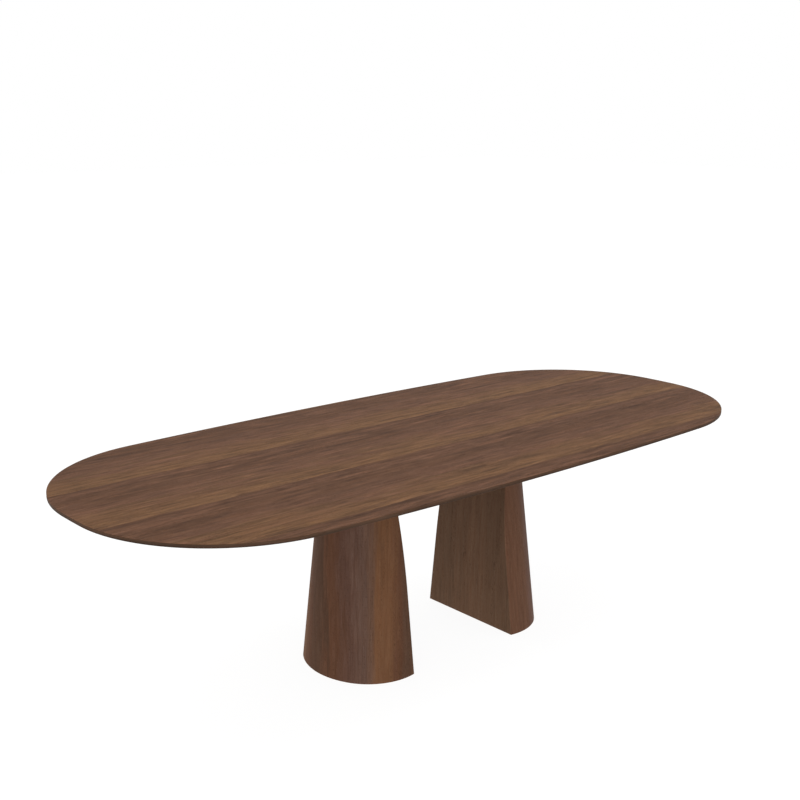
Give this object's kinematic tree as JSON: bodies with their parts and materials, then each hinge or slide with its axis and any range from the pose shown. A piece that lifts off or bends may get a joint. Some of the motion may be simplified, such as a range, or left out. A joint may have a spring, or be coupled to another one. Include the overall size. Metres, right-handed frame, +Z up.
{
  "type": "dining table",
  "caption": "Oblong dining table in dark walnut veneer: thin-edged top with bowed sides and round ends on half-cone pedestals, with levelling feet.",
  "frame": {"origin": "on the floor, under the centre of the top", "axes": "+X along the length of the top, +Y across it (the back), +Z up"},
  "size_m": [2.6, 1.13, 0.74],
  "materials": {
    "walnut_top_veneer": "satin",
    "walnut_solid_edge": "satin",
    "walnut_backing_veneer": "matte",
    "walnut_pedestal_veneer": "satin",
    "core_board": "matte",
    "plywood": "matte",
    "beech_batten": "matte",
    "black_steel": "satin",
    "black_bolt": "satin",
    "zinc_steel": "satin",
    "insert_brass": "satin",
    "foot_nylon": "matte"
  },
  "bodies": {
    "table": {"left_base_weight": "black_steel", "left_base_weight_screws": "zinc_steel", "left_foot_nuts": "zinc_steel", "left_pedestal_base_former": "plywood", "left_pedestal_batten_back": "beech_batten", "left_pedestal_batten_front": "beech_batten", "left_pedestal_inner_panel": "plywood", "left_pedestal_middle_former": "plywood", "left_pedestal_panel_veneer": "walnut_pedestal_veneer", "left_pedestal_shell": "plywood", "left_pedestal_shell_veneer": "walnut_pedestal_veneer", "left_pedestal_top_former": "plywood", "left_top_plate": "black_steel", "left_top_plate_bolts": "black_bolt", "left_top_plate_screws": "zinc_steel", "right_base_weight": "black_steel", "right_base_weight_screws": "zinc_steel", "right_foot_nuts": "zinc_steel", "right_pedestal_base_former": "plywood", "right_pedestal_batten_back": "beech_batten", "right_pedestal_batten_front": "beech_batten", "right_pedestal_inner_panel": "plywood", "right_pedestal_middle_former": "plywood", "right_pedestal_panel_veneer": "walnut_pedestal_veneer", "right_pedestal_shell": "plywood", "right_pedestal_shell_veneer": "walnut_pedestal_veneer", "right_pedestal_top_former": "plywood", "right_top_plate": "black_steel", "right_top_plate_bolts": "black_bolt", "right_top_plate_screws": "zinc_steel", "top_backing_veneer": "walnut_backing_veneer", "top_core": "core_board", "top_face_veneer": "walnut_top_veneer", "top_lipping_back": "walnut_solid_edge", "top_lipping_back_left": "walnut_solid_edge", "top_lipping_back_right": "walnut_solid_edge", "top_lipping_front": "walnut_solid_edge", "top_lipping_front_left": "walnut_solid_edge", "top_lipping_front_right": "walnut_solid_edge", "top_stiffener_back": "black_steel", "top_stiffener_front": "black_steel", "top_stiffener_screws": "zinc_steel", "top_threaded_inserts": "insert_brass"},
    "left_front_inner_pad": {"left_foot_pad_front_inner": "foot_nylon"},
    "left_front_inner_stud": {"left_foot_stud_front_inner": "zinc_steel"},
    "left_back_inner_pad": {"left_foot_pad_back_inner": "foot_nylon"},
    "left_back_inner_stud": {"left_foot_stud_back_inner": "zinc_steel"},
    "left_front_outer_pad": {"left_foot_pad_front_outer": "foot_nylon"},
    "left_front_outer_stud": {"left_foot_stud_front_outer": "zinc_steel"},
    "left_back_outer_pad": {"left_foot_pad_back_outer": "foot_nylon"},
    "left_back_outer_stud": {"left_foot_stud_back_outer": "zinc_steel"},
    "right_front_inner_pad": {"right_foot_pad_front_inner": "foot_nylon"},
    "right_front_inner_stud": {"right_foot_stud_front_inner": "zinc_steel"},
    "right_back_inner_pad": {"right_foot_pad_back_inner": "foot_nylon"},
    "right_back_inner_stud": {"right_foot_stud_back_inner": "zinc_steel"},
    "right_front_outer_pad": {"right_foot_pad_front_outer": "foot_nylon"},
    "right_front_outer_stud": {"right_foot_stud_front_outer": "zinc_steel"},
    "right_back_outer_pad": {"right_foot_pad_back_outer": "foot_nylon"},
    "right_back_outer_stud": {"right_foot_stud_back_outer": "zinc_steel"}
  },
  "joints": [
    {"name": "left_front_inner_level", "type": "slide", "parent": "table", "child": "left_front_inner_pad", "axis": [0, 0, 1], "range_m": [-0.00802, 0]},
    {"name": "left_front_inner_screw", "type": "hinge", "parent": "left_front_inner_pad", "child": "left_front_inner_stud", "pos_m": [-0.277, -0.172, 0.007], "axis": [0, 0, 1], "range_deg": [-2304, 0]},
    {"name": "left_back_inner_level", "type": "slide", "parent": "table", "child": "left_back_inner_pad", "axis": [0, 0, 1], "range_m": [-0.00802, 0]},
    {"name": "left_back_inner_screw", "type": "hinge", "parent": "left_back_inner_pad", "child": "left_back_inner_stud", "pos_m": [-0.277, 0.172, 0.007], "axis": [0, 0, 1], "range_deg": [-2304, 0]},
    {"name": "left_front_outer_level", "type": "slide", "parent": "table", "child": "left_front_outer_pad", "axis": [0, 0, 1], "range_m": [-0.00802, 0]},
    {"name": "left_front_outer_screw", "type": "hinge", "parent": "left_front_outer_pad", "child": "left_front_outer_stud", "pos_m": [-0.397, -0.11, 0.007], "axis": [0, 0, 1], "range_deg": [-2304, 0]},
    {"name": "left_back_outer_level", "type": "slide", "parent": "table", "child": "left_back_outer_pad", "axis": [0, 0, 1], "range_m": [-0.00802, 0]},
    {"name": "left_back_outer_screw", "type": "hinge", "parent": "left_back_outer_pad", "child": "left_back_outer_stud", "pos_m": [-0.397, 0.11, 0.007], "axis": [0, 0, 1], "range_deg": [-2304, 0]},
    {"name": "right_front_inner_level", "type": "slide", "parent": "table", "child": "right_front_inner_pad", "axis": [0, 0, 1], "range_m": [-0.00802, 0]},
    {"name": "right_front_inner_screw", "type": "hinge", "parent": "right_front_inner_pad", "child": "right_front_inner_stud", "pos_m": [0.277, -0.172, 0.007], "axis": [0, 0, 1], "range_deg": [-2304, 0]},
    {"name": "right_back_inner_level", "type": "slide", "parent": "table", "child": "right_back_inner_pad", "axis": [0, 0, 1], "range_m": [-0.00802, 0]},
    {"name": "right_back_inner_screw", "type": "hinge", "parent": "right_back_inner_pad", "child": "right_back_inner_stud", "pos_m": [0.277, 0.172, 0.007], "axis": [0, 0, 1], "range_deg": [-2304, 0]},
    {"name": "right_front_outer_level", "type": "slide", "parent": "table", "child": "right_front_outer_pad", "axis": [0, 0, 1], "range_m": [-0.00802, 0]},
    {"name": "right_front_outer_screw", "type": "hinge", "parent": "right_front_outer_pad", "child": "right_front_outer_stud", "pos_m": [0.397, -0.11, 0.007], "axis": [0, 0, 1], "range_deg": [-2304, 0]},
    {"name": "right_back_outer_level", "type": "slide", "parent": "table", "child": "right_back_outer_pad", "axis": [0, 0, 1], "range_m": [-0.00802, 0]},
    {"name": "right_back_outer_screw", "type": "hinge", "parent": "right_back_outer_pad", "child": "right_back_outer_stud", "pos_m": [0.397, 0.11, 0.007], "axis": [0, 0, 1], "range_deg": [-2304, 0]}
  ],
  "couplings": [
    {"joint": "left_front_inner_level", "follows": "left_front_inner_screw", "m_per_rad": 0.00019894},
    {"joint": "left_back_inner_level", "follows": "left_back_inner_screw", "m_per_rad": 0.00019894},
    {"joint": "left_front_outer_level", "follows": "left_front_outer_screw", "m_per_rad": 0.00019894},
    {"joint": "left_back_outer_level", "follows": "left_back_outer_screw", "m_per_rad": 0.00019894},
    {"joint": "right_front_inner_level", "follows": "right_front_inner_screw", "m_per_rad": 0.00019894},
    {"joint": "right_back_inner_level", "follows": "right_back_inner_screw", "m_per_rad": 0.00019894},
    {"joint": "right_front_outer_level", "follows": "right_front_outer_screw", "m_per_rad": 0.00019894},
    {"joint": "right_back_outer_level", "follows": "right_back_outer_screw", "m_per_rad": 0.00019894}
  ]
}
